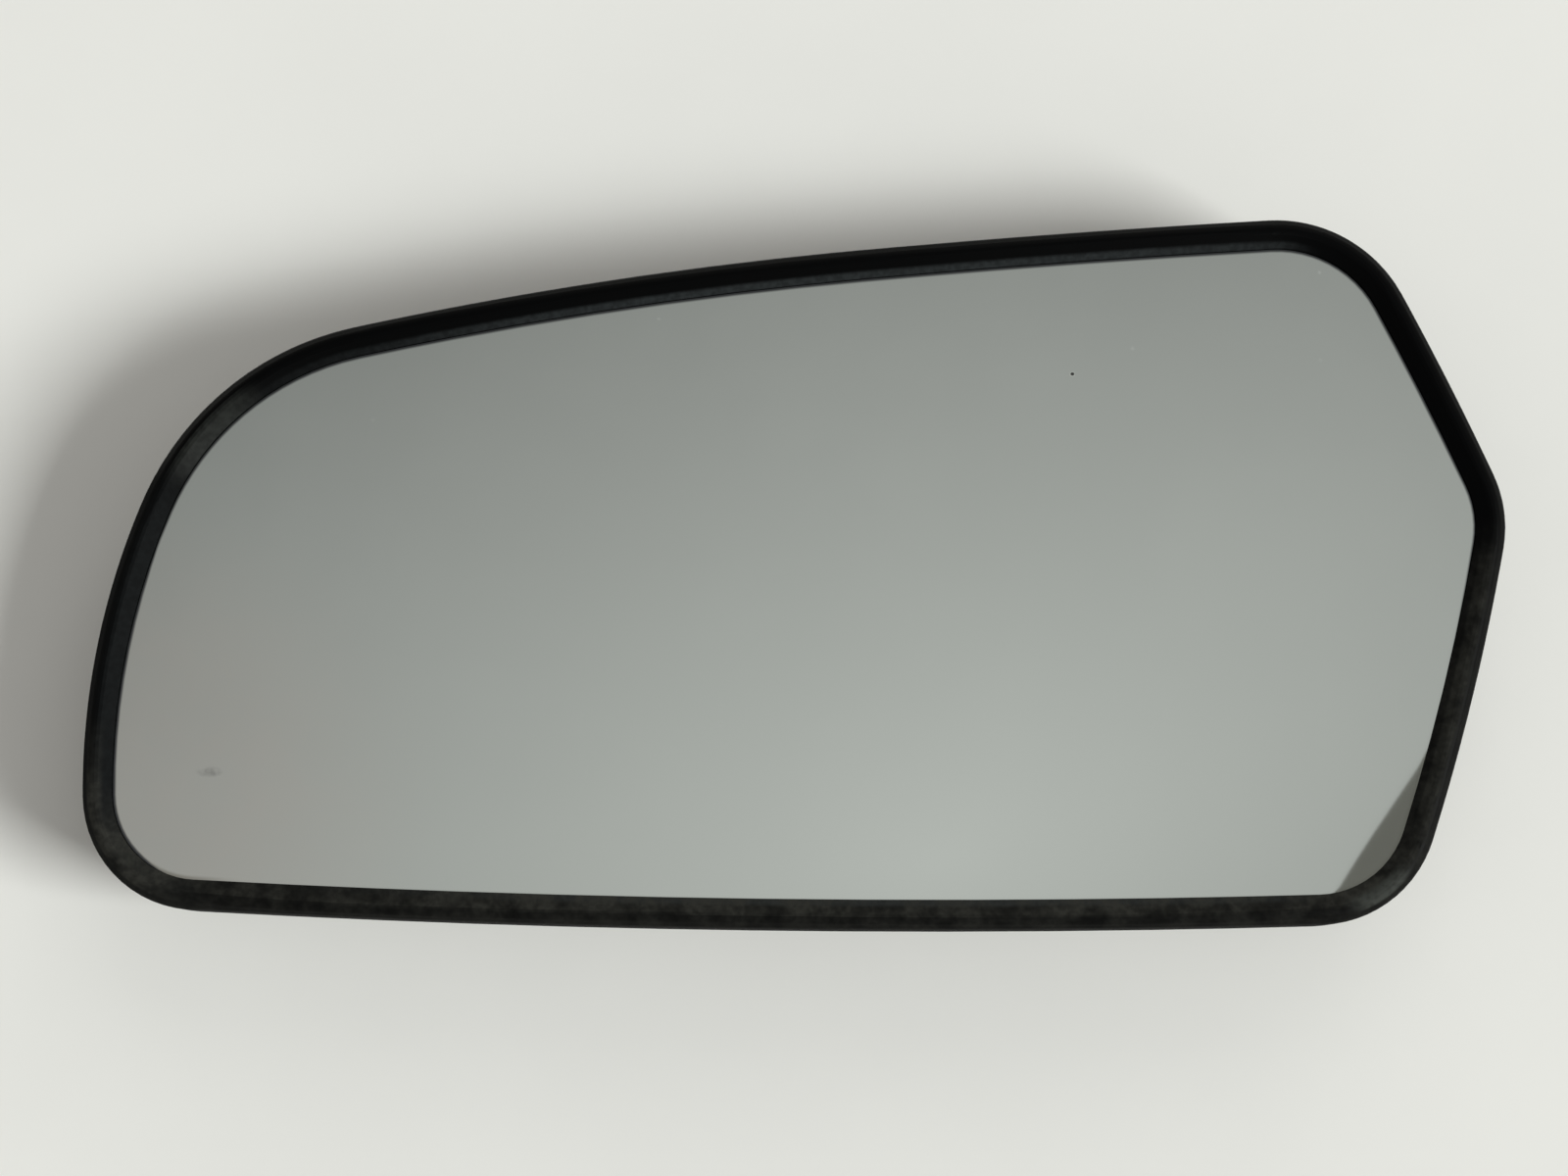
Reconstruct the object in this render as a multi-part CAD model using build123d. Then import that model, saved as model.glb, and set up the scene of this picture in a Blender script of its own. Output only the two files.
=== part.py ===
from build123d import *

import math
import os

os.makedirs("parts", exist_ok=True)

# Car door mirror glass: a convex mirror bonded into a moulded plate that snaps onto an adjuster.
# Lengths are in millimetres. X runs to the right across the face, Y upwards, Z out of the face.
# The origin is on the axis of the snap ring, in the middle of the lands of its hooks.

# Overall size of the face, along and across
face_length = 172.2
face_height = 86.8

# Outline of the rim: the corners that its bowed sides would meet at, as shares of the overall
# size measured from the ring's axis, how far each side bows outwards, and the radius of each
# corner. From the shoulder on, the top edge falls away to the left in one smooth arc.
bottom_left = (-0.507 * face_length, -0.426 * face_height)
bottom_right = (0.4077 * face_length, -0.4516 * face_height)
right_point = (0.4884 * face_length, 0.1233 * face_height)
top_right = (0.385 * face_length, 0.544 * face_height)
top_shoulder = (0.0287 * face_length, 0.4891 * face_height)
top_left = (-0.4209 * face_length, 0.3397 * face_height)

bottom_bow = 1.95
right_lower_bow = 1.15
right_upper_bow = 0.5
top_bow = 0.25
left_bow = 6.82

bottom_left_radius = 14.1
bottom_right_radius = 14.8
right_point_radius = 15.2
top_right_radius = 17.0
top_left_radius = 35.3
least_radius = 1.0

# Convex glass and the foam sheet that bonds it
face_radius = 1260.0
glass_thickness = 2.0
pad_thickness = 0.8
pad_margin = 1.5

# Moulded plate: a dome behind the glass, with a rim whose lip laps over the glass's edge
plate_thickness = 1.8
rim_wall = 1.7
rim_width = 3.6
rim_crest = 1.3
edge_bevel = 1.0
crest_width = 0.9
crest_round = 0.8
lip_edge = 0.3
skirt_depth = 3.0
edge_clearance = 0.2
lip_clearance = 0.05

# Snap ring behind the plate: slotted fingers with a hook inside each tip
ring_height = 16.0
ring_bore_radius = 24.0
ring_wall = 1.9
ring_draft = 0.5
ring_root = 6.0
finger_count = 10
slot_width = 2.2
key_slot_width = 5.0
hook_reach = 0.8
hook_land = 1.4
lead_in = 1.2
tip_chamfer = 0.5

# Seat inside the ring, level across its land, spokes and hub
seat_height = 3.0
seat_gap = 3.0
seat_land = 2.4
hub_radius = 5.0
spoke_count = 4
spoke_width = 1.6

# Ribs between the ring and the rim, with a round ejector boss on each
rib_count = 10
rib_thickness = 1.4
rib_root_height = 2.8
rib_tip_height = 1.6
contour_inset = 11.0
contour_height = 2.0
boss_radius = 2.2
boss_spread = 6.5

# Levels along the axis, from the tips of the fingers to the back of the plate
tip_level = -(lead_in + hook_land / 2)
back_level = tip_level + ring_height
slot_level = back_level - ring_root
seat_level = back_level - seat_height

# Radii of the concentric domes, from the back of the skirt out to the crest of the rim
glass_back_radius = face_radius - glass_thickness
plate_front_radius = glass_back_radius - pad_thickness
plate_back_radius = plate_front_radius - plate_thickness
plate_middle_radius = plate_back_radius + plate_thickness / 2
skirt_radius = plate_back_radius - skirt_depth
lip_radius = face_radius + lip_clearance
crest_radius = face_radius + rim_crest
dome_centre = back_level - plate_back_radius

# Sizes that follow from those above
glass_inset = rim_wall + edge_clearance
bevel_width = rim_width - edge_bevel - crest_width
bevel_drop = rim_crest - lip_clearance - lip_edge
ring_outer_radius = ring_bore_radius + ring_wall
hook_radius = ring_bore_radius - hook_reach
seat_radius = ring_bore_radius - seat_gap
boss_circle = ring_outer_radius + boss_spread


def bowed_side(start, end, bow):
    """Centre and radius of the arc that bows outwards between two corners."""
    chord = Vector(end) - Vector(start)
    radius = bow / 2 + chord.length ** 2 / (8 * bow)
    inwards = Vector(-chord.Y, chord.X).normalized()
    return Vector(start) + chord / 2 + inwards * (radius - bow), radius


def smooth_side(side, start, end):
    """Centre and radius of the arc that carries a side on, without a corner, to another point."""
    inwards = (side[0] - Vector(start)).normalized()
    chord = Vector(end) - Vector(start)
    radius = chord.length ** 2 / (2 * chord.dot(inwards))
    return Vector(start) + inwards * radius, radius


def corner_round(side, next_side, corner, radius):
    """Centre and radius of a corner's arc, which touches both of its sides from within."""
    reach = side[1] - radius
    next_reach = next_side[1] - radius
    between = next_side[0] - side[0]
    along = (between.length ** 2 + reach ** 2 - next_reach ** 2) / (2 * between.length)
    across = math.sqrt(reach ** 2 - along ** 2)
    foot = side[0] + between.normalized() * along
    aside = Vector(-between.Y, between.X).normalized() * across
    return min(foot + aside, foot - aside, key=lambda point: (point - Vector(corner)).length), radius


def touching_point(arc, next_arc, inset):
    """The point where two arcs of the outline run into each other, moved in by the inset."""
    inner, outer = sorted((arc, next_arc), key=lambda each: each[1])
    return outer[0] + (inner[0] - outer[0]).normalized() * (outer[1] - inset)


def rim_outline(inset):
    """The rim's outline, moved in by the inset, as a flat face bounded by smoothly joined arcs."""
    bottom = bowed_side(bottom_left, bottom_right, bottom_bow)
    right_lower = bowed_side(bottom_right, right_point, right_lower_bow)
    right_upper = bowed_side(right_point, top_right, right_upper_bow)
    top = bowed_side(top_right, top_shoulder, top_bow)
    top_fall = smooth_side(top, top_shoulder, top_left)
    left = bowed_side(top_left, bottom_left, left_bow)
    least = inset + least_radius
    arcs = [
        bottom,
        corner_round(bottom, right_lower, bottom_right, max(bottom_right_radius, least)),
        right_lower,
        corner_round(right_lower, right_upper, right_point, max(right_point_radius, least)),
        right_upper,
        corner_round(right_upper, top, top_right, max(top_right_radius, least)),
        top,
        top_fall,
        corner_round(top_fall, left, top_left, max(top_left_radius, least)),
        left,
        corner_round(left, bottom, bottom_left, max(bottom_left_radius, least)),
    ]
    edges = []
    for index, (centre, radius) in enumerate(arcs):
        start = touching_point(arcs[index - 1], arcs[index], inset)
        end = touching_point(arcs[index], arcs[(index + 1) % len(arcs)], inset)
        middle = centre + ((start + end) / 2 - centre).normalized() * (radius - inset)
        edges.append(ThreePointArc(start, middle, end))
    return make_face(edges)


def column(inset):
    """An upright column on the outline, moved in by the inset, past the part at both ends."""
    top_level = dome_centre + crest_radius
    section = Pos(0, 0, tip_level) * rim_outline(inset)
    return extrude(section, 2 * (top_level - tip_level))


def dome(radius):
    """A ball about the common centre of the curved faces, with its poles turned sideways."""
    return Pos(0, 0, dome_centre) * Rot(0, 90, 0) * Sphere(radius)


def layer(inset, back_radius, front_radius):
    """A curved sheet between two domes, cut to the outline moved in by the inset."""
    return column(inset) & dome(front_radius) - dome(back_radius)


def domed_faces(solid):
    """The spherical faces of a solid, from the innermost to the outermost."""
    return solid.faces().filter_by(GeomType.SPHERE).sort_by(SortBy.RADIUS)


def mirror_glass():
    """The glass, whose cut edge stays hidden under the lip."""
    return layer(glass_inset, glass_back_radius, face_radius)


def adhesive_pad():
    """The foam sheet, which stops short of the glass's edge."""
    return layer(glass_inset + pad_margin, plate_front_radius, glass_back_radius)


def rim_and_dome():
    """The plate's dome with the rim round it: skirt behind, crest, bevel and lip in front."""
    body = layer(0, skirt_radius, crest_radius)
    body = chamfer(domed_faces(body)[-1].outer_wire().edges(), edge_bevel)
    walls = body.faces().filter_by(GeomType.CYLINDER)
    bevels = body.faces().filter_by(GeomType.BSPLINE)
    bevel_edges = domed_faces(body)[-1].edges() + (walls.edges() & bevels.edges())
    body = fillet(bevel_edges, crest_round)
    body -= layer(rim_wall, plate_front_radius, lip_radius)
    body -= column(rim_width) - dome(plate_front_radius)
    crest = domed_faces(body)[-1]
    body = chamfer(crest.inner_wires()[0].edges(), bevel_width, bevel_drop, reference=crest)
    body = fillet(domed_faces(body)[-1].inner_wires()[0].edges(), crest_round)
    return body - (column(rim_wall) & dome(plate_back_radius))


def finger_slot(width):
    """A slot along X through the ring's wall, open at the tips and round at its end."""
    straight = slot_level - tip_level - width / 2
    section = Pos(0, straight / 2) * Rectangle(width, straight) + Pos(0, straight) * Circle(width / 2)
    start = hook_radius - hook_reach
    length = ring_outer_radius + ring_draft + hook_reach - start
    return extrude(Plane.YZ.offset(start) * Pos(0, tip_level) * section, length)


def snap_ring():
    """The ring of fingers: a turned section with the hook inside its tip, cut by the slots."""
    land_level = tip_level + lead_in
    section = Polyline(
        (hook_radius + lead_in, tip_level),
        (hook_radius, land_level),
        (hook_radius, land_level + hook_land),
        (ring_bore_radius, land_level + hook_land + hook_reach),
        (ring_bore_radius, back_level + plate_thickness),
        (ring_outer_radius + ring_draft, back_level + plate_thickness),
        (ring_outer_radius, tip_level + tip_chamfer),
        (ring_outer_radius - tip_chamfer, tip_level),
        close=True,
    )
    ring = revolve(Plane.XZ * make_face(section), Axis.Z)
    for index in range(finger_count):
        width = slot_width if index else key_slot_width
        ring -= Rot(0, 0, -90 + index * 360 / finger_count) * finger_slot(width)
    return ring


def ring_seat():
    """The level seat inside the ring: an outer land, spokes and a hub."""
    section = Circle(seat_radius) - Circle(seat_radius - seat_land) + Circle(hub_radius)
    spoke_length = seat_radius - seat_land / 2
    spoke = Pos(spoke_length / 2, 0) * Rectangle(spoke_length, spoke_width)
    for index in range(spoke_count):
        section += Rot(0, 0, 45 + index * 360 / spoke_count) * spoke
    return extrude(Pos(0, 0, seat_level) * section, seat_height + plate_thickness)


def radial_ribs():
    """Ribs that run out from the ring and taper towards the rim, each with its ejector boss."""
    tip_radius = math.hypot(*bottom_left)
    tip_back = dome_centre + math.sqrt(plate_back_radius ** 2 - tip_radius ** 2)
    side = Polyline(
        (ring_outer_radius, back_level + plate_thickness),
        (ring_outer_radius, back_level - rib_root_height),
        (tip_radius, tip_back - rib_tip_height),
        (tip_radius, back_level + plate_thickness),
        close=True,
    )
    rib = extrude(Plane.XZ * make_face(side), rib_thickness / 2, both=True)
    boss_level = back_level - rib_root_height
    rib += extrude(Pos(boss_circle, 0, boss_level) * Circle(boss_radius), rib_root_height + plate_thickness)
    ribs = [Rot(0, 0, -90 + (index + 0.5) * 360 / rib_count) * rib for index in range(rib_count)]
    return Part() + ribs & column(rim_wall / 2)


def contour_rib():
    """A rib that follows the rim's outline."""
    band = layer(contour_inset, plate_back_radius - contour_height, plate_middle_radius)
    return band - column(contour_inset + rib_thickness)


def backing_plate():
    """The whole moulding: dome and rim, with ring, seat and ribs behind."""
    behind = snap_ring() + ring_seat() + radial_ribs()
    return rim_and_dome() + (behind & dome(plate_middle_radius)) + contour_rib()


pieces = {
    "mirror_glass": mirror_glass(),
    "adhesive_pad": adhesive_pad(),
    "backing_plate": backing_plate(),
}
for name, piece in pieces.items():
    export_step(piece, f"parts/{name}.step")
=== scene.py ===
"""Looks of a car door mirror glass: a silvered convex glass in a black moulded plate, on a pale floor.

Lengths are in metres, in the frame of the CAD part: X runs across the face, Y up it, Z out of it.
"""

import math

import bmesh
import bpy
from bpy.props import FloatProperty, FloatVectorProperty, IntProperty, PointerProperty
from bpy.types import Operator, Panel, PropertyGroup
from mathutils import Matrix, Vector


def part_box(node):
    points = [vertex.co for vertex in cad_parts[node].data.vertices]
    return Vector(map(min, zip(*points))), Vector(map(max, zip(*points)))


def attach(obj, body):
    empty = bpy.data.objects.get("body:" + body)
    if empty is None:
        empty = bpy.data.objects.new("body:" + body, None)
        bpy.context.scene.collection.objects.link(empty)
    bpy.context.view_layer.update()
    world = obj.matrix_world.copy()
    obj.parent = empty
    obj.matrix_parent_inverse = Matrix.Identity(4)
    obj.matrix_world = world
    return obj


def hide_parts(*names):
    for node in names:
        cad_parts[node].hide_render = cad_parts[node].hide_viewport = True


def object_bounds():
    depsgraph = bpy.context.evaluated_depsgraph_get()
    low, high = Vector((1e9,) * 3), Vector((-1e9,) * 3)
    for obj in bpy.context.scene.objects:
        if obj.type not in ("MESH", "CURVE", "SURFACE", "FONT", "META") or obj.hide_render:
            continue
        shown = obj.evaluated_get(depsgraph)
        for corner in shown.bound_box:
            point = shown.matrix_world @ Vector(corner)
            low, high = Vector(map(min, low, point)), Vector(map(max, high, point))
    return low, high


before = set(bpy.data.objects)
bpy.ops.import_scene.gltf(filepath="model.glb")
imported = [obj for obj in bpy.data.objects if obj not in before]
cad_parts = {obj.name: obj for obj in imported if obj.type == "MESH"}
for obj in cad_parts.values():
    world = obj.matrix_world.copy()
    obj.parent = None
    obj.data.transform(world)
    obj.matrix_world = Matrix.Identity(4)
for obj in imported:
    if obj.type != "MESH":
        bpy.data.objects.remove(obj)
cad_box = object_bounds()

bl_info = {
    "name": "Door Mirror Glass",
    "version": (1, 0, 0),
    "blender": (4, 5, 0),
    "location": "View3D > Sidebar > Mirror Glass",
    "description": "Builds a car door mirror glass and the plain studio that it lies in",
    "category": "Object",
}


class MirrorGlassSettings(PropertyGroup):
    """Sizes and finish of the convex glass."""

    face_radius: FloatProperty(
        name="Face radius",
        description="Radius of the convex face",
        default=1.26,
        unit="LENGTH",
    )
    thickness: FloatProperty(
        name="Thickness",
        description="Thickness of the glass",
        default=0.002,
        unit="LENGTH",
    )
    edge_round: FloatProperty(
        name="Edge round",
        description="Radius of the ground edge",
        default=0.0004,
        unit="LENGTH",
    )
    outline_step: FloatProperty(
        name="Outline step",
        description="Longest edge along the outline",
        default=0.002,
        unit="LENGTH",
    )
    ring_count: IntProperty(
        name="Rings",
        description="Rings of faces between the lip and the middle",
        default=28,
    )
    lip_cover: FloatProperty(
        name="Lip cover",
        description="Width of the glass under the lip",
        default=0.0017,
        unit="LENGTH",
    )
    lip_shade: FloatProperty(
        name="Lip shade",
        description="Width beside the lip where the silver can mirror it",
        default=0.0006,
        unit="LENGTH",
    )
    silver: FloatVectorProperty(
        name="Silver",
        description="Tint of the reflection",
        default=(0.81, 0.86, 0.80),
        subtype="COLOR",
    )
    # Painted reflection: tint of the dark line painted beside the lip, where the silver would mirror it.
    painted_lip_reflection: FloatVectorProperty(
        name="Lip image",
        description="Tint of the lip's dark image in the silver",
        default=(0.1, 0.105, 0.108),
        subtype="COLOR",
    )
    dust: FloatVectorProperty(
        name="Dust",
        description="Colour of the dust on the face",
        default=(0.46, 0.47, 0.45),
        subtype="COLOR",
    )
    haze: FloatProperty(
        name="Haze",
        description="Share of the reflection that the film of dust hides where it is thickest",
        default=0.03,
        min=0.0,
        max=1.0,
        subtype="FACTOR",
    )
    # A warm tint of the silver at the left end.
    left_warmth: FloatVectorProperty(
        name="Grime",
        description="Tint of the warm haze at the left end",
        default=(0.85, 0.815, 0.74),
        subtype="COLOR",
    )
    # Dirt along the lip in the lower left corner, with painted shade beside the lip.
    dirt_and_shade: FloatVectorProperty(
        name="Dirt",
        description="Tint of the dirt along the lip in the lower left corner",
        default=(0.28, 0.25, 0.19),
        subtype="COLOR",
    )
    smear: FloatVectorProperty(
        name="Smear",
        description="Tint of the small smear near the left end",
        default=(0.02, 0.02, 0.018),
        subtype="COLOR",
    )
    speck: FloatVectorProperty(
        name="Speck",
        description="Colour of the dark speck on the right half",
        default=(0.012, 0.012, 0.012),
        subtype="COLOR",
    )


class PlasticSettings(PropertyGroup):
    """Finish of the moulded plate."""

    crest_radius: FloatProperty(
        name="Crest radius",
        description="Radius of the dome that the rim's crest follows",
        default=1.2613,
        unit="LENGTH",
    )
    black: FloatVectorProperty(
        name="Black",
        description="Colour of the clean rim",
        default=(0.0011, 0.0012, 0.0013),
        subtype="COLOR",
    )
    # Painted sheen: this colour paints the lit inner slope along the upper lip and over the left end.
    film: FloatVectorProperty(
        name="Film",
        description="Colour of the film along the lip",
        default=(0.021, 0.024, 0.0252),
        subtype="COLOR",
    )
    # Scuffs, and also the painted highlight on the lower left corner's crest.
    scuff_and_highlight: FloatVectorProperty(
        name="Scuffed",
        description="Colour where handling has dulled the rim",
        default=(0.0265, 0.0265, 0.0232),
        subtype="COLOR",
    )
    # Painted highlight: colour of the highlights painted on the rim's crest.
    painted_highlight: FloatVectorProperty(
        name="Worn",
        description="Colour where the rim is rubbed pale",
        default=(0.040, 0.043, 0.039),
        subtype="COLOR",
    )
    moulded: FloatVectorProperty(
        name="Moulded",
        description="Colour of the outer wall and the side behind",
        default=(0.014, 0.014, 0.0145),
        subtype="COLOR",
    )


class FoamSettings(PropertyGroup):
    """Finish of the adhesive pad."""

    grey: FloatVectorProperty(
        name="Grey",
        description="Colour of the foam",
        default=(0.05, 0.05, 0.053),
        subtype="COLOR",
    )


class StageSettings(PropertyGroup):
    """Floor, card, lights and camera."""

    floor_radius: FloatProperty(
        name="Floor radius",
        description="Radius of the round floor",
        default=6.0,
        unit="LENGTH",
    )
    floor: FloatVectorProperty(
        name="Floor",
        description="Colour of the floor",
        default=(0.81, 0.807, 0.78),
        subtype="COLOR",
    )
    card: FloatVectorProperty(
        name="Card",
        description="Tone of the dark card that the mirror reflects",
        default=(0.13, 0.125, 0.115),
        subtype="COLOR",
    )
    key_direction: FloatVectorProperty(
        name="Key direction",
        description="Direction from the part to the large soft light",
        default=(0.745, -0.27, 0.62),
        subtype="DIRECTION",
    )
    key_distance: FloatProperty(
        name="Key distance",
        description="Distance of the large soft light",
        default=9.0,
        unit="LENGTH",
    )
    key_size: FloatProperty(
        name="Key size",
        description="Side of the large soft light",
        default=3.384,
        unit="LENGTH",
    )
    key_power: FloatProperty(
        name="Key power",
        description="Power of the large soft light",
        default=776.0,
        unit="POWER",
    )
    key_tint: FloatVectorProperty(
        name="Key tint",
        description="Colour of the large soft light",
        default=(0.975, 1.0, 0.985),
        subtype="COLOR",
    )
    fill_direction: FloatVectorProperty(
        name="Fill direction",
        description="Direction from the part to the weak light",
        default=(0.25, 0.75, 0.6),
        subtype="DIRECTION",
    )
    fill_distance: FloatProperty(
        name="Fill distance",
        description="Distance of the weak light",
        default=3.0,
        unit="LENGTH",
    )
    fill_size: FloatProperty(
        name="Fill size",
        description="Side of the weak light",
        default=2.3,
        unit="LENGTH",
    )
    fill_power: FloatProperty(
        name="Fill power",
        description="Power of the weak light",
        default=12.0,
        unit="POWER",
    )
    fill_tint: FloatVectorProperty(
        name="Fill tint",
        description="Colour of the weak light",
        default=(1.0, 1.0, 0.96),
        subtype="COLOR",
    )
    ceiling_tint: FloatVectorProperty(
        name="Ceiling tint",
        description="Colour of the room overhead",
        default=(1.0, 1.0, 1.0),
        subtype="COLOR",
    )
    wall_tint: FloatVectorProperty(
        name="Wall tint",
        description="Colour of the room's walls",
        default=(1.0, 0.955, 0.83),
        subtype="COLOR",
    )
    aim: FloatVectorProperty(
        name="Aim",
        description="Point in the middle of the picture",
        default=(-0.00416, 0.00093, 0.0176),
        unit="LENGTH",
    )
    camera_elevation: FloatProperty(
        name="Elevation",
        description="Angle of the camera above the floor",
        default=math.radians(82.8),
        unit="ROTATION",
    )
    camera_distance: FloatProperty(
        name="Distance",
        description="Distance of the camera from its aim",
        default=0.4,
        unit="LENGTH",
    )
    camera_lens: FloatProperty(
        name="Lens",
        description="Focal length in millimetres",
        default=76.08,
        unit="CAMERA",
    )
    camera_sensor: FloatProperty(
        name="Sensor",
        description="Width of the sensor in millimetres",
        default=36.0,
        unit="CAMERA",
    )


def fill_inputs(tree, node, inputs):
    """Fills a node's inputs with values or links."""
    for name, value in inputs.items():
        if isinstance(value, bpy.types.NodeSocket):
            tree.links.new(value, node.inputs[name])
        else:
            node.inputs[name].default_value = value


def new_node(tree, kind, inputs=None, **properties):
    """Adds a node, sets its properties and fills its inputs."""
    node = tree.nodes.new(kind)
    for name, value in properties.items():
        setattr(node, name, value)
    fill_inputs(tree, node, inputs or {})
    return node


def calculate(tree, operation, *values, clamp=False):
    """The result of a sum, product or other operation on values or sockets."""
    inputs = dict(enumerate(values))
    node = new_node(tree, "ShaderNodeMath", inputs, operation=operation, use_clamp=clamp)
    return node.outputs[0]


def multiply(tree, first, *others):
    """The product of two or more values or sockets."""
    for other in others:
        first = calculate(tree, "MULTIPLY", first, other)
    return first


def largest(tree, first, *others):
    """The largest of two or more values or sockets."""
    for other in others:
        first = calculate(tree, "MAXIMUM", first, other)
    return first


def calculate_vector(tree, operation, *vectors, output="Vector"):
    """The result of an operation on vectors: another vector, or a number from the Value output."""
    node = new_node(tree, "ShaderNodeVectorMath", dict(enumerate(vectors)), operation=operation)
    return node.outputs[output]


def ease(tree, value, start, end, low=0.0, high=1.0):
    """A value that goes smoothly from low to high while another goes from start to end."""
    inputs = {"Value": value, "From Min": start, "From Max": end, "To Min": low, "To Max": high}
    return new_node(tree, "ShaderNodeMapRange", inputs, interpolation_type="SMOOTHSTEP").outputs[0]


def between(tree, mask, low, high):
    """A value that goes smoothly from low to high while a mask goes from 0 to 1."""
    return ease(tree, mask, 0.0, 1.0, low, high)


def blend_numbers(tree, factor, first, second):
    """A number between two numbers. The Mix node's sockets go by index, because names repeat."""
    inputs = {0: factor, 2: first, 3: second}
    return new_node(tree, "ShaderNodeMix", inputs, data_type="FLOAT").outputs[0]


def blend_colours(tree, factor, first, second):
    """A colour between two colours. The Mix node's sockets go by index, because names repeat."""
    inputs = {0: factor, 6: first, 7: second}
    return new_node(tree, "ShaderNodeMix", inputs, data_type="RGBA").outputs[2]


def opaque(colour):
    """A colour with full alpha, as sockets take it."""
    return (*colour, 1.0)


def layer_colours(tree, base, *layers):
    """A base colour with layers over it in order, each a mask and a colour."""
    result = opaque(base)
    for mask, colour in layers:
        result = blend_colours(tree, mask, result, opaque(colour))
    return result


def noise(tree, place, scale, detail=2.0, roughness=0.5):
    """Soft cloudy noise, with about scale clouds to a metre."""
    inputs = {"Vector": place, "Scale": scale, "Detail": detail, "Roughness": roughness}
    return new_node(tree, "ShaderNodeTexNoise", inputs).outputs["Fac"]


def cells(tree, place, scale):
    """A node that splits space into cells, with about scale cells to a metre."""
    return new_node(tree, "ShaderNodeTexVoronoi", {"Vector": place, "Scale": scale})


def bump(tree, height, strength, distance):
    """The normal of a surface raised by a height, in units of a distance."""
    inputs = {"Height": height, "Strength": strength, "Distance": distance}
    return new_node(tree, "ShaderNodeBump", inputs).outputs[0]


def empty_material(name):
    """A node material without nodes, and its tree."""
    material = bpy.data.materials.new(name)
    material.use_nodes = True
    material.node_tree.nodes.clear()
    return material, material.node_tree


def new_material(name):
    """A node material, with its tree, its shader and the place on the object."""
    material, tree = empty_material(name)
    shader = new_node(tree, "ShaderNodeBsdfPrincipled")
    new_node(tree, "ShaderNodeOutputMaterial", {"Surface": shader.outputs[0]})
    place = new_node(tree, "ShaderNodeTexCoord").outputs["Object"]
    return material, tree, shader, place


def mark_on_face(tree, place, centre, half_size):
    """A soft spot on the face: 1 in its middle and 0 outside its half length and half height."""
    solid_part = 0.35
    scale = (1 / half_size[0], 1 / half_size[1], 0.0)
    from_centre = calculate_vector(tree, "SUBTRACT", place, (*centre, 0.0))
    scaled = calculate_vector(tree, "MULTIPLY", from_centre, scale)
    reach = calculate_vector(tree, "LENGTH", scaled, output="Value")
    return ease(tree, reach, 1.0, solid_part)


def dust_on_face(tree, place, haze):
    """The share of the reflection that dust hides: an uneven film with a few flecks."""
    fleck_cover = 0.12
    clouds = noise(tree, place, scale=38.0, detail=4.0, roughness=0.6)
    film = multiply(tree, ease(tree, clouds, start=0.35, end=0.75, low=0.25), haze)
    fleck_cells = cells(tree, place, scale=260.0)
    cell_colour = fleck_cells.outputs["Color"]
    chance = new_node(tree, "ShaderNodeSeparateColor", {0: cell_colour}).outputs[0]
    rare = ease(tree, chance, start=0.9, end=0.97)
    fleck = ease(tree, fleck_cells.outputs["Distance"], start=0.075, end=0.03)
    flecks = multiply(tree, fleck, rare, fleck_cover)
    return calculate(tree, "ADD", film, flecks, clamp=True)


def painted_lip_reflection_on_face(tree, place, margin):
    """Painted reflection of the lip: a dark line beside it, thin, and wider along the upper and left
    edges.
    """
    upper_edge = (-0.03, 0.03)
    left_edge = (-0.076, -0.083)
    thin_start = 0.8
    wide_start = 0.05
    fade = 0.6
    x, y, _ = new_node(tree, "ShaderNodeSeparateXYZ", {0: place}).outputs
    upper_left = largest(tree, ease(tree, y, *upper_edge), ease(tree, x, *left_edge))
    start = between(tree, upper_left, thin_start, wide_start)
    end = calculate(tree, "ADD", start, fade)
    return ease(tree, margin, start, end)


def silvered_glass_material(settings):
    """Silvered glass with dust, a warm tint at the left end, dirt with painted shade in a corner, a
    smear, a speck and a painted reflection of the lip.
    """
    left_warmth_cover = 0.58
    dirt_and_shade_cover = 0.6
    smear_cover = 0.3
    material, tree, shader, place = new_material("silvered_glass")
    margin = new_node(tree, "ShaderNodeAttribute", attribute_name="margin").outputs["Fac"]
    dust = dust_on_face(tree, place, settings.haze)
    # Painted reflection of the lip: a dark line beside it on the glass.
    painted_lip_reflection = painted_lip_reflection_on_face(tree, place, margin)

    clouds = noise(tree, place, scale=150.0, detail=3.0, roughness=0.6)
    cloudy = ease(tree, clouds, start=0.3, end=0.7, low=0.75)
    # A warm tint of the silver at the left end, broken up by clouds.
    left_warmth = mark_on_face(tree, place, centre=(-0.088, -0.025), half_size=(0.046, 0.042))
    left_warmth = multiply(tree, left_warmth, cloudy, left_warmth_cover)

    # Dirt and painted shade beside the lip in the lower left corner.
    beside_lip = ease(tree, margin, start=0.0, end=0.8, high=dirt_and_shade_cover)
    dirt_and_shade = mark_on_face(tree, place, centre=(-0.081, -0.031), half_size=(0.013, 0.013))
    dirt_and_shade = multiply(tree, dirt_and_shade, beside_lip)

    patchy = ease(tree, noise(tree, place, scale=900.0), start=0.25, end=0.6)
    smear = mark_on_face(tree, place, centre=(-0.0732, -0.0212), half_size=(0.0019, 0.0008))
    smear = multiply(tree, smear, patchy, smear_cover)
    speck = mark_on_face(tree, place, centre=(0.0309, 0.0271), half_size=(0.00042, 0.00036))

    colour = layer_colours(
        tree,
        settings.silver,
        (dust, settings.dust),
        (left_warmth, settings.left_warmth),
        (dirt_and_shade, settings.dirt_and_shade),
        (smear, settings.smear),
        (painted_lip_reflection, settings.painted_lip_reflection),
        (speck, settings.speck),
    )
    hidden = largest(tree, dust, speck)
    inputs = {
        "Base Color": colour,
        "Metallic": calculate(tree, "SUBTRACT", 1.0, hidden),
        "Roughness": ease(tree, hidden, start=0.0, end=0.5, low=0.02, high=0.5),
    }
    fill_inputs(tree, shader, inputs)
    return material


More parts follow.
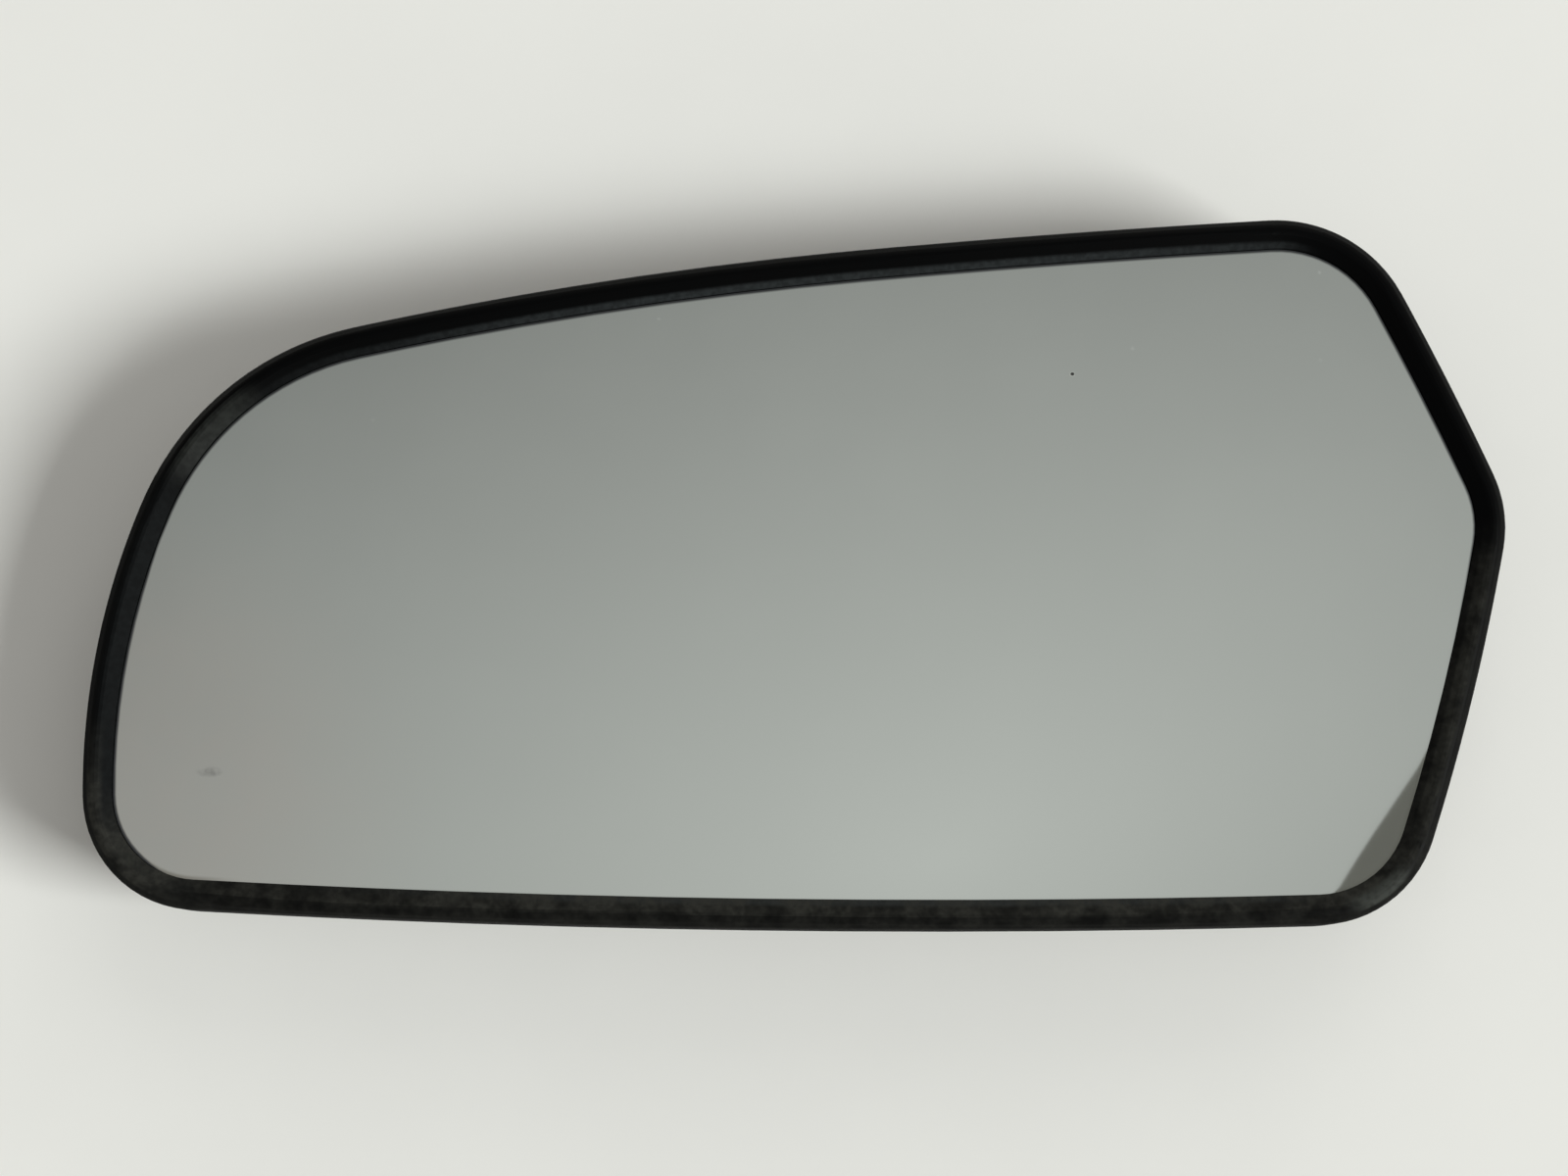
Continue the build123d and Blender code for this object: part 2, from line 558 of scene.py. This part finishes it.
def rim_section(tree, place, crest_radius, centre):
    """The normal's lean away from the middle, and masks across the plate's section.

    The masks come from that lean, the normal's rise and the depth below the crest's dome.
    """
    # Each range goes from where its mask is 0 to where it is 1.
    steep_rise = (0.45, 0.15)
    behind_rise = (-0.2, -0.5)
    wall_lean = (0.2, 0.6)
    inner_lean = (0.05, -0.35)
    lip_lean = (-0.08, -0.3)
    lip_depth = (0.0004, 0.0007)
    crest_depth = (0.0005, 0.0001)

    normal = new_node(tree, "ShaderNodeTexCoord").outputs["Normal"]
    _, _, rise = new_node(tree, "ShaderNodeSeparateXYZ", {0: normal}).outputs
    flat = calculate_vector(tree, "MULTIPLY", place, (1.0, 1.0, 0.0))
    outwards = calculate_vector(tree, "NORMALIZE", flat)
    lean = calculate_vector(tree, "DOT_PRODUCT", normal, outwards, output="Value")
    from_centre = calculate_vector(tree, "DISTANCE", place, centre, output="Value")
    depth = calculate(tree, "SUBTRACT", crest_radius, from_centre)

    steep = ease(tree, rise, *steep_rise)
    wall = multiply(tree, steep, ease(tree, lean, *wall_lean))
    return {
        "lean": lean,
        "steep": steep,
        "moulded": largest(tree, ease(tree, rise, *behind_rise), wall),
        "inner": ease(tree, lean, *inner_lean),
        "lip": multiply(tree, ease(tree, lean, *lip_lean), ease(tree, depth, *lip_depth)),
        "crest": ease(tree, depth, *crest_depth),
    }


def rim_wear(tree, place, section):
    """Masks along the rim: its scuffs with a painted highlight on the lower left corner, a painted sheen
    along the lip, painted highlights and its dull left end.
    """
    # Each range goes from where a stretch of the rim begins to where it is full.
    lower_edge = (-0.022, -0.032)
    right_end = (0.058, 0.068)
    right_below = (0.010, 0.0)
    corner_side = (-0.071, -0.080)
    corner_below = (-0.014, -0.024)
    left_end = (-0.070, -0.080)
    left_below = (0.020, 0.008)
    upper_edge = (-0.072, -0.02)
    upper_edge_stop = (0.062, 0.053)

    x, y, _ = new_node(tree, "ShaderNodeSeparateXYZ", {0: place}).outputs
    clouds = noise(tree, place, scale=260.0, detail=3.0, roughness=0.6)
    blotchy = ease(tree, clouds, start=0.36, end=0.64, low=0.35)
    grain = noise(tree, place, scale=1300.0)
    grainy = ease(tree, grain, start=0.3, end=0.7, low=0.7, high=1.15)

    # The lower edge is scuffed most on its inner slope, the right end least on its lip and outer slope.
    bottom = ease(tree, y, *lower_edge)
    bottom = multiply(tree, bottom, between(tree, section["inner"], low=0.38, high=0.95))
    right = multiply(tree, ease(tree, x, *right_end), ease(tree, y, *right_below))
    right = multiply(tree, right, between(tree, section["lip"], low=0.75, high=0.35))
    right = multiply(tree, right, ease(tree, section["lean"], start=0.1, end=0.5, low=1.0, high=0.2))
    # Painted highlight: the lower left corner's crest is painted pale, joined to the scuffs.
    corner = multiply(tree, ease(tree, x, *corner_side), ease(tree, y, *corner_below))
    corner = multiply(tree, corner, section["crest"])
    scuffs_and_highlight = largest(tree, bottom, right, corner)
    scuffs_and_highlight = multiply(tree, scuffs_and_highlight, multiply(tree, blotchy, grainy))

    # Painted sheen along the upper lip, and thinly over the left end, where the inner slope faces the
    # light.
    left = multiply(tree, ease(tree, x, *left_end), ease(tree, y, *left_below))
    left_sheen = multiply(tree, left, between(tree, section["inner"], low=0.06, high=0.2))
    top = ease(tree, x, *upper_edge, low=0.1, high=0.85)
    top = multiply(tree, top, ease(tree, x, *upper_edge_stop))
    film = largest(tree, multiply(tree, section["lip"], top), left_sheen)
    film = multiply(tree, film, grainy)

    # Painted highlights: the crest at the lower right corner and the upper left arc are painted pale.
    right_crest_highlight = mark_on_face(tree, place, centre=(0.067, -0.0352), half_size=(0.0055, 0.0045))
    right_crest_highlight = multiply(tree, right_crest_highlight, section["crest"])
    upper_arc_highlight = mark_on_face(tree, place, centre=(-0.0745, 0.0205), half_size=(0.0095, 0.0085))
    on_top = ease(tree, section["lean"], start=0.25, end=-0.05, high=0.36)
    upper_arc_highlight = multiply(tree, upper_arc_highlight, on_top)
    painted_highlight = multiply(tree, largest(tree, right_crest_highlight, upper_arc_highlight), grainy)
    return {"scuffs_and_highlight": scuffs_and_highlight, "film": film, "painted_highlight": painted_highlight, "left": left}


def moulded_grain(tree, place):
    """The normal of plastic with a fine moulded grain over a slow swell."""
    swell_share = 3.0
    grain = noise(tree, place, scale=4200.0)
    swell = noise(tree, place, scale=160.0, detail=1.0)
    height = calculate(tree, "MULTIPLY_ADD", swell, swell_share, grain)
    return bump(tree, height, strength=0.25, distance=0.00003)


def black_plastic_material(settings, centre):
    """Black plastic: a deep black rim with painted sheen along its lip, scuffs and painted highlights,
    matt elsewhere.
    """
    steep_rough = 0.8
    material, tree, shader, place = new_material("black_plastic")
    section = rim_section(tree, place, settings.crest_radius, centre)
    wear = rim_wear(tree, place, section)
    colour = layer_colours(
        tree,
        settings.black,
        # The film layer is painted sheen on the lit inner slope.
        (wear["film"], settings.film),
        (wear["scuffs_and_highlight"], settings.scuff_and_highlight),
        (wear["painted_highlight"], settings.painted_highlight),
        (section["moulded"], settings.moulded),
    )
    dull = largest(tree, wear["scuffs_and_highlight"], wear["film"], section["moulded"], wear["left"])
    satin = ease(tree, dull, start=0.0, end=0.6, low=0.42, high=0.65)
    inputs = {
        "Base Color": colour,
        "Roughness": largest(tree, satin, multiply(tree, section["steep"], steep_rough)),
        "Specular IOR Level": 0.04,
        "Normal": moulded_grain(tree, place),
    }
    fill_inputs(tree, shader, inputs)
    return material


def foam_material(settings):
    """Closed-cell foam with fine pores, with shade painted into their pits."""
    pore_shade = 0.35
    material, tree, shader, place = new_material("foam_tape")
    pores = cells(tree, place, scale=2600.0).outputs["Distance"]
    pale = ease(tree, pores, start=0.05, end=0.6, low=0.5)
    dark = [channel * pore_shade for channel in settings.grey]
    inputs = {
        "Base Color": layer_colours(tree, dark, (pale, settings.grey)),
        "Roughness": 0.9,
        "Normal": bump(tree, pores, strength=0.6, distance=0.0001),
    }
    fill_inputs(tree, shader, inputs)
    return material


def floor_material(settings):
    """Pale matt table top with a barely visible mottle."""
    mottle_shade = 0.985
    material, tree, shader, place = new_material("pale_floor")
    clouds = noise(tree, place, scale=30.0, detail=4.0, roughness=0.6)
    pale = ease(tree, clouds, start=0.3, end=0.7)
    darker = [channel * mottle_shade for channel in settings.floor]
    inputs = {
        "Base Color": layer_colours(tree, darker, (pale, settings.floor)),
        "Roughness": 0.9,
        "Specular IOR Level": 0.0,
    }
    fill_inputs(tree, shader, inputs)
    return material


def card_material(settings):
    """Dark grey card of an even tone."""
    material, tree = empty_material("dark_card")
    inputs = {"Color": opaque(settings.card), "Strength": 1.0}
    tone = new_node(tree, "ShaderNodeEmission", inputs)
    new_node(tree, "ShaderNodeOutputMaterial", {"Surface": tone.outputs[0]})
    return material


def add_object(name, bm, material):
    """Turns a bmesh into an object of the scene, at the origin."""
    mesh = bpy.data.meshes.new(name)
    bm.to_mesh(mesh)
    bm.free()
    mesh.materials.append(material)
    thing = bpy.data.objects.new(name, mesh)
    bpy.context.scene.collection.objects.link(thing)
    return thing


def give_material(node, material):
    """Puts a material on a CAD node in place of its own."""
    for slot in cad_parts[node].material_slots:
        slot.material = material


def of_kind(geometry, kind):
    """The vertices, edges or faces in what a bmesh operator gave back."""
    return [item for item in geometry if isinstance(item, kind)]


def shade_smooth(bm):
    """Shades faces smooth, apart from the edges where they meet at more than a slight angle."""
    slight = math.radians(12)
    for face in bm.faces:
        face.smooth = True
    for edge in bm.edges:
        edge.smooth = edge.is_manifold and edge.calc_face_angle() < slight


def front_outline(bm, mesh, longest):
    """Leaves only the outline of a CAD sheet's front face in a bmesh, as a loop of short edges."""
    weld_distance = 1e-6
    least_rise = 0.5
    bm.from_mesh(mesh)
    bmesh.ops.remove_doubles(bm, verts=bm.verts, dist=weld_distance)
    front = {face for face in bm.faces if face.normal.z > least_rise}
    outline = {edge for edge in bm.edges if sum(face in front for face in edge.link_faces) == 1}
    bmesh.ops.delete(bm, geom=bm.faces[:], context="FACES_ONLY")
    bmesh.ops.delete(bm, geom=[edge for edge in bm.edges if edge not in outline], context="EDGES")
    bmesh.ops.delete(bm, geom=[vert for vert in bm.verts if not vert.link_edges], context="VERTS")
    for edge in bm.edges[:]:
        cuts = math.ceil(edge.calc_length() / longest) - 1
        if cuts:
            bmesh.ops.subdivide_edges(bm, edges=[edge], cuts=cuts)
    return bm.edges[:]


def inset_evenly(bm, faces, width):
    """Moves the edges of flat faces inwards, with a strip of new faces round them."""
    bmesh.ops.inset_region(bm, faces=faces, thickness=width, use_boundary=True, use_even_offset=True)


def mark_margin(bm, outline, lip_cover, lip_shade):
    """Sets two narrow strips inside a flat outline and gives back the loop inside them.

    The margin value is 1 under the lip and falls to 0 over the strip beside it.
    """
    margin = bm.verts.layers.float.new("margin")
    sheet = bmesh.ops.edgeloop_fill(bm, edges=outline)["faces"]
    inset_evenly(bm, sheet, lip_cover)
    for vert in bm.verts:
        vert[margin] = 1.0
    inset_evenly(bm, sheet, lip_shade)
    inner = sheet[0].edges[:]
    for vert in sheet[0].verts:
        vert[margin] = 0.0
    bmesh.ops.delete(bm, geom=sheet, context="FACES_ONLY")
    return inner


def fill_with_rings(bm, loop, count, to_middle):
    """Fills a flat loop with rings of faces that shrink towards its middle."""
    for ring in range(count, 1, -1):
        new = bmesh.ops.extrude_edge_only(bm, edges=loop)["geom"]
        verts = of_kind(new, bmesh.types.BMVert)
        edges = of_kind(new, bmesh.types.BMEdge)
        loop = [edge for edge in edges if all(vert in verts for vert in edge.verts)]
        shrink = (ring - 1) / ring
        bmesh.ops.scale(bm, vec=(shrink, shrink, 1), space=to_middle, verts=verts)
    cap = bmesh.ops.edgeloop_fill(bm, edges=loop)["faces"]
    bmesh.ops.poke(bm, faces=cap)


def dome_centre(radius):
    """Centre of the dome that the glass's face follows."""
    _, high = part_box("mirror_glass")
    return Vector((0, 0, high.z - radius))


def drop_onto_dome(verts, centre, radius):
    """Moves points up or down onto a dome."""
    for vert in verts:
        aside = (vert.co - centre).to_2d().length_squared
        vert.co.z = centre.z + math.sqrt(radius**2 - aside)


def thicken(bm, thickness, edge_round):
    """Gives a sheet its thickness, behind its face, and rounds its edges."""
    sharp = math.radians(60)
    bmesh.ops.recalc_face_normals(bm, faces=bm.faces)
    if bm.faces[0].normal.z < 0:
        bmesh.ops.reverse_faces(bm, faces=bm.faces)
    bmesh.ops.solidify(bm, geom=bm.faces[:], thickness=thickness)
    rims = [edge for edge in bm.edges if edge.is_manifold and edge.calc_face_angle() > sharp]
    bmesh.ops.bevel(
        bm,
        geom=rims,
        offset=edge_round,
        affect="EDGES",
        segments=3,
        profile=0.5,
        material=-1,
    )


class MIRRORGLASS_OT_glass(Operator):
    """Build the convex mirror glass with its ground edge"""

    bl_idname = "mirrorglass.glass"
    bl_label = "Mirror Glass"

    def execute(self, context):
        settings = context.scene.mirror_glass
        low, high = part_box("mirror_glass")
        to_middle = Matrix.Translation(-(low + high) / 2)
        bm = bmesh.new()
        loop = front_outline(bm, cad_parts["mirror_glass"].data, settings.outline_step)
        bmesh.ops.scale(bm, vec=(1, 1, 0), space=to_middle, verts=bm.verts)
        loop = mark_margin(bm, loop, settings.lip_cover, settings.lip_shade)
        fill_with_rings(bm, loop, settings.ring_count, to_middle)
        drop_onto_dome(bm.verts, dome_centre(settings.face_radius), settings.face_radius)
        thicken(bm, settings.thickness, settings.edge_round)
        shade_smooth(bm)
        glass = add_object("silvered_mirror", bm, silvered_glass_material(settings))
        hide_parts("mirror_glass")
        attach(glass, "root")
        return {"FINISHED"}


class MIRRORGLASS_OT_plate(Operator):
    """Finish the moulded plate with its rim, snap ring and ribs"""

    bl_idname = "mirrorglass.plate"
    bl_label = "Moulded Plate"

    def execute(self, context):
        centre = dome_centre(context.scene.mirror_glass.face_radius)
        give_material("backing_plate", black_plastic_material(context.scene.mirror_plastic, centre))
        return {"FINISHED"}


class MIRRORGLASS_OT_pad(Operator):
    """Finish the foam pad between the glass and the plate"""

    bl_idname = "mirrorglass.pad"
    bl_label = "Adhesive Pad"

    def execute(self, context):
        give_material("adhesive_pad", foam_material(context.scene.mirror_foam))
        return {"FINISHED"}


def add_floor(settings):
    """A round floor just under the part."""
    gap = 0.00005
    level = Matrix.Translation((0, 0, cad_box[0].z - gap))
    radius = settings.floor_radius
    bm = bmesh.new()
    bmesh.ops.create_circle(bm, cap_ends=True, segments=96, radius=radius, matrix=level)
    floor = add_object("floor", bm, floor_material(settings))


def add_flag(settings):
    """A dark card overhead that only reflections show, in the lower right corner of the glass."""
    edge_start = Vector((0.2245, -0.0479, 0.62))
    edge_end = Vector((0.2602, 0.0035, 0.62))
    overrun = 0.2
    depth = 0.22
    along = (edge_end - edge_start).normalized()
    outwards = Vector((along.y, -along.x, 0))
    bm = bmesh.new()
    start = bm.verts.new(edge_start - along * overrun)
    end = bm.verts.new(edge_end + along * overrun)
    edge = bm.edges.new((start, end))
    side = bmesh.ops.extrude_edge_only(bm, edges=[edge])["geom"]
    moved = of_kind(side, bmesh.types.BMVert)
    bmesh.ops.translate(bm, vec=outwards * depth, verts=moved)
    flag = add_object("studio_flag", bm, card_material(settings))
    flag.visible_camera = False
    flag.visible_diffuse = False
    flag.visible_shadow = False


def add_soft_light(name, direction, distance, size, power, tint):
    """A square soft light that shines at the part from a direction."""
    light = bpy.data.lights.new(name, "AREA")
    light.shape = "SQUARE"
    light.size = size
    light.energy = power
    light.color = tint
    lamp = bpy.data.objects.new(name, light)
    direction = Vector(direction).normalized()
    lamp.location = direction * distance
    lamp.rotation_euler = direction.to_track_quat("Z", "Y").to_euler()
    bpy.context.scene.collection.objects.link(lamp)


def add_lights(settings):
    """One large soft light to the lower right, and a weak one beyond the top edge."""
    add_soft_light(
        "soft_key",
        settings.key_direction,
        settings.key_distance,
        settings.key_size,
        settings.key_power,
        settings.key_tint,
    )
    add_soft_light(
        "soft_fill",
        settings.fill_direction,
        settings.fill_distance,
        settings.fill_size,
        settings.fill_power,
        settings.fill_tint,
    )


def light_room(settings):
    """A grey room with a soft glow nearly overhead, which fades outwards, and pale walls low down."""
    glow_tone = 0.542
    least_tone = 0.16
    wall_tone = 0.9
    wall_rise = (0.85, 0.0)
    glow_place = {
        "Location": (0.0706, -0.0057, 0.0),
        "Rotation": (0.0, 0.0, math.radians(15.6)),
        "Scale": (2.09, 1.174, 1.0),
    }
    world = bpy.data.worlds.new("grey_room")
    bpy.context.scene.world = world
    world.use_nodes = True
    tree = world.node_tree
    tree.nodes.clear()

    direction = new_node(tree, "ShaderNodeTexCoord").outputs["Generated"]
    flat = calculate_vector(tree, "MULTIPLY", direction, (1.0, 1.0, 0.0))
    inputs = {"Vector": flat, **glow_place}
    turned = new_node(tree, "ShaderNodeMapping", inputs, vector_type="TEXTURE").outputs[0]
    from_glow = calculate_vector(tree, "LENGTH", turned, output="Value")
    ceiling = largest(tree, calculate(tree, "SUBTRACT", glow_tone, from_glow), least_tone)

    _, _, rise = new_node(tree, "ShaderNodeSeparateXYZ", {0: direction}).outputs
    wall = ease(tree, rise, *wall_rise)
    inputs = {
        "Color": layer_colours(tree, settings.ceiling_tint, (wall, settings.wall_tint)),
        "Strength": blend_numbers(tree, wall, ceiling, wall_tone),
    }
    background = new_node(tree, "ShaderNodeBackground", inputs)
    new_node(tree, "ShaderNodeOutputWorld", {"Surface": background.outputs[0]})


def add_camera(settings):
    """The camera at the photograph's angle, a little below straight overhead."""
    data = bpy.data.cameras.new("camera")
    data.lens = settings.camera_lens
    data.sensor_fit = "HORIZONTAL"
    data.sensor_width = settings.camera_sensor
    camera = bpy.data.objects.new("camera", data)
    elevation = settings.camera_elevation
    direction = Vector((0, -math.cos(elevation), math.sin(elevation)))
    camera.location = Vector(settings.aim) + direction * settings.camera_distance
    camera.rotation_euler = direction.to_track_quat("Z", "Y").to_euler()
    bpy.context.scene.collection.objects.link(camera)
    bpy.context.scene.camera = camera


class MIRRORGLASS_OT_stage(Operator):
    """Set up the floor, the card, the lights and the camera"""

    bl_idname = "mirrorglass.stage"
    bl_label = "Stage"

    def execute(self, context):
        settings = context.scene.mirror_stage
        add_floor(settings)
        add_flag(settings)
        add_lights(settings)
        light_room(settings)
        add_camera(settings)
        context.scene.view_settings.view_transform = "Standard"
        return {"FINISHED"}


class MIRRORGLASS_PT_panel(Panel):
    """Lists the pieces of the mirror glass, its stage and their settings"""

    bl_idname = "MIRRORGLASS_PT_panel"
    bl_label = "Door Mirror Glass"
    bl_space_type = "VIEW_3D"
    bl_region_type = "UI"
    bl_category = "Mirror Glass"

    def draw(self, context):
        for operator in operators:
            self.layout.operator(operator.bl_idname)
        for name in settings_groups:
            box = self.layout.box()
            group = getattr(context.scene, name)
            for key in group.__annotations__:
                box.prop(group, key)


operators = (MIRRORGLASS_OT_glass, MIRRORGLASS_OT_plate, MIRRORGLASS_OT_pad, MIRRORGLASS_OT_stage)
settings_groups = {
    "mirror_glass": MirrorGlassSettings,
    "mirror_plastic": PlasticSettings,
    "mirror_foam": FoamSettings,
    "mirror_stage": StageSettings,
}


def register():
    """Registers the settings, the operators and the panel."""
    for name, group in settings_groups.items():
        bpy.utils.register_class(group)
        setattr(bpy.types.Scene, name, PointerProperty(type=group))
    for operator in operators:
        bpy.utils.register_class(operator)
    bpy.utils.register_class(MIRRORGLASS_PT_panel)


def unregister():
    """Removes what register added."""
    bpy.utils.unregister_class(MIRRORGLASS_PT_panel)
    for operator in reversed(operators):
        bpy.utils.unregister_class(operator)
    for name, group in settings_groups.items():
        delattr(bpy.types.Scene, name)
        bpy.utils.unregister_class(group)


def main():
    """Builds every piece and the stage."""
    register()
    bpy.ops.mirrorglass.glass()
    bpy.ops.mirrorglass.plate()
    bpy.ops.mirrorglass.pad()
    bpy.ops.mirrorglass.stage()


if __name__ == "__main__":
    main()
